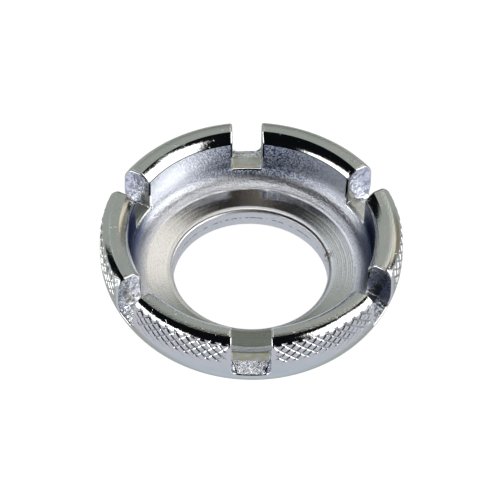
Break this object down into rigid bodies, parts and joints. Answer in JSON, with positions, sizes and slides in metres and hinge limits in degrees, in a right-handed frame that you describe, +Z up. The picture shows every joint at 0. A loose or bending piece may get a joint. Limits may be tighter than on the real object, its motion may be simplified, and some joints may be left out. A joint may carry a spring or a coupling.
{
  "type": "spoke wrench",
  "caption": "Round spoke wrench: a plated steel ring with a shallow bowl, a plain bore, a knurled grip and graduated nipple slots round its crown.",
  "frame": {"origin": "on the bore axis, at the flat underside that the ring lies on", "axes": "+Z up the bore axis to the slotted crown, -Y to the widest slot, +X to the right of it seen from the front"},
  "size_m": [0.04, 0.0398, 0.0106],
  "materials": {
    "plated_steel": "bright nickel plate over turned, knurled and milled steel"
  },
  "bodies": {
    "root": {"wrench_ring": "plated_steel"}
  },
  "joints": []
}
